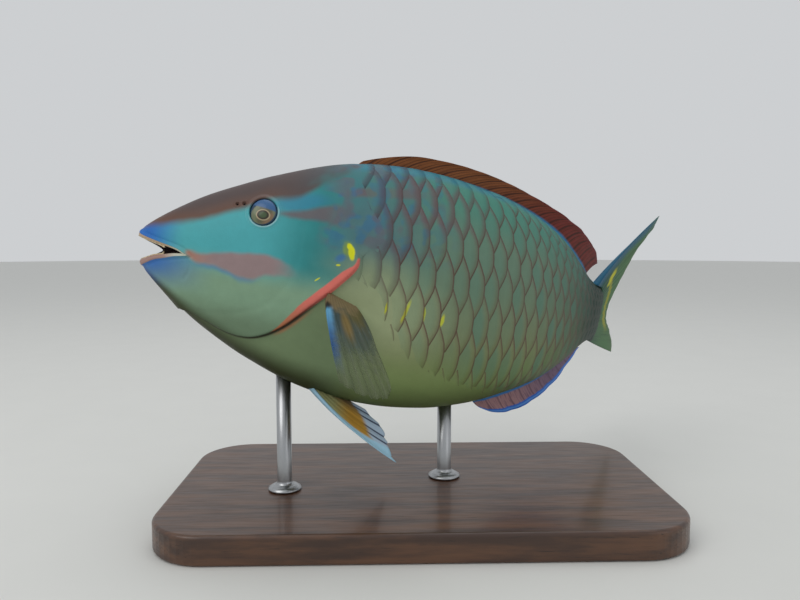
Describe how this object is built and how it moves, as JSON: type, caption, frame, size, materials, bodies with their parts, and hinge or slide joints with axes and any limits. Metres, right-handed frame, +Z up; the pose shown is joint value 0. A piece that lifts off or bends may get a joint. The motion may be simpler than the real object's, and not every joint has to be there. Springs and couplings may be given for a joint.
{
  "type": "parrotfish",
  "caption": "Life-size parrotfish with open beak and turned tail, held by rods on a flat display base.",
  "frame": {"origin": "centre of the stand base's flat underside", "axes": "+Z up; -X towards the snout, with the head's long axis in the XZ plane; -Y towards the fish's left side"},
  "size_m": [0.3522, 0.2866, 0.1964],
  "materials": {
    "skin": "moist scaled skin, teal on the back and grey-green on the belly",
    "tooth_plate": "smooth cream beak",
    "eye": "glossy olive eye with a gold ring and dark pupil",
    "dorsal_fin": "ribbed membrane, orange-brown to maroon",
    "anal_fin": "ribbed membrane, mauve with a blue margin",
    "caudal_fin": "ribbed membrane, teal with blue edges and a yellow crescent",
    "pectoral_fin": "thin ribbed membrane, dark olive with a blue leading edge",
    "pelvic_fin": "ribbed membrane, ochre with a pale blue leading edge",
    "stand_wood": "satin dark wood",
    "stand_steel": "brushed"
  },
  "bodies": {
    "root": {"head": "skin", "lower_jaw": "skin", "upper_tooth_plate": "tooth_plate", "lower_tooth_plate": "tooth_plate", "eye_left": "eye", "eye_right": "eye", "breast": "skin", "trunk_front": "skin", "trunk_middle": "skin", "trunk_rear": "skin", "caudal_peduncle": "skin", "dorsal_fin_spiny": "dorsal_fin", "dorsal_fin_soft": "dorsal_fin", "anal_fin": "anal_fin", "caudal_fin_upper": "caudal_fin", "caudal_fin_middle": "caudal_fin", "caudal_fin_lower": "caudal_fin", "pectoral_fin_left": "pectoral_fin", "pectoral_fin_right": "pectoral_fin", "pelvic_fin_left": "pelvic_fin", "pelvic_fin_right": "pelvic_fin", "stand_base": "stand_wood", "stand_rod_front": "stand_steel", "stand_rod_rear": "stand_steel"}
  },
  "joints": []
}
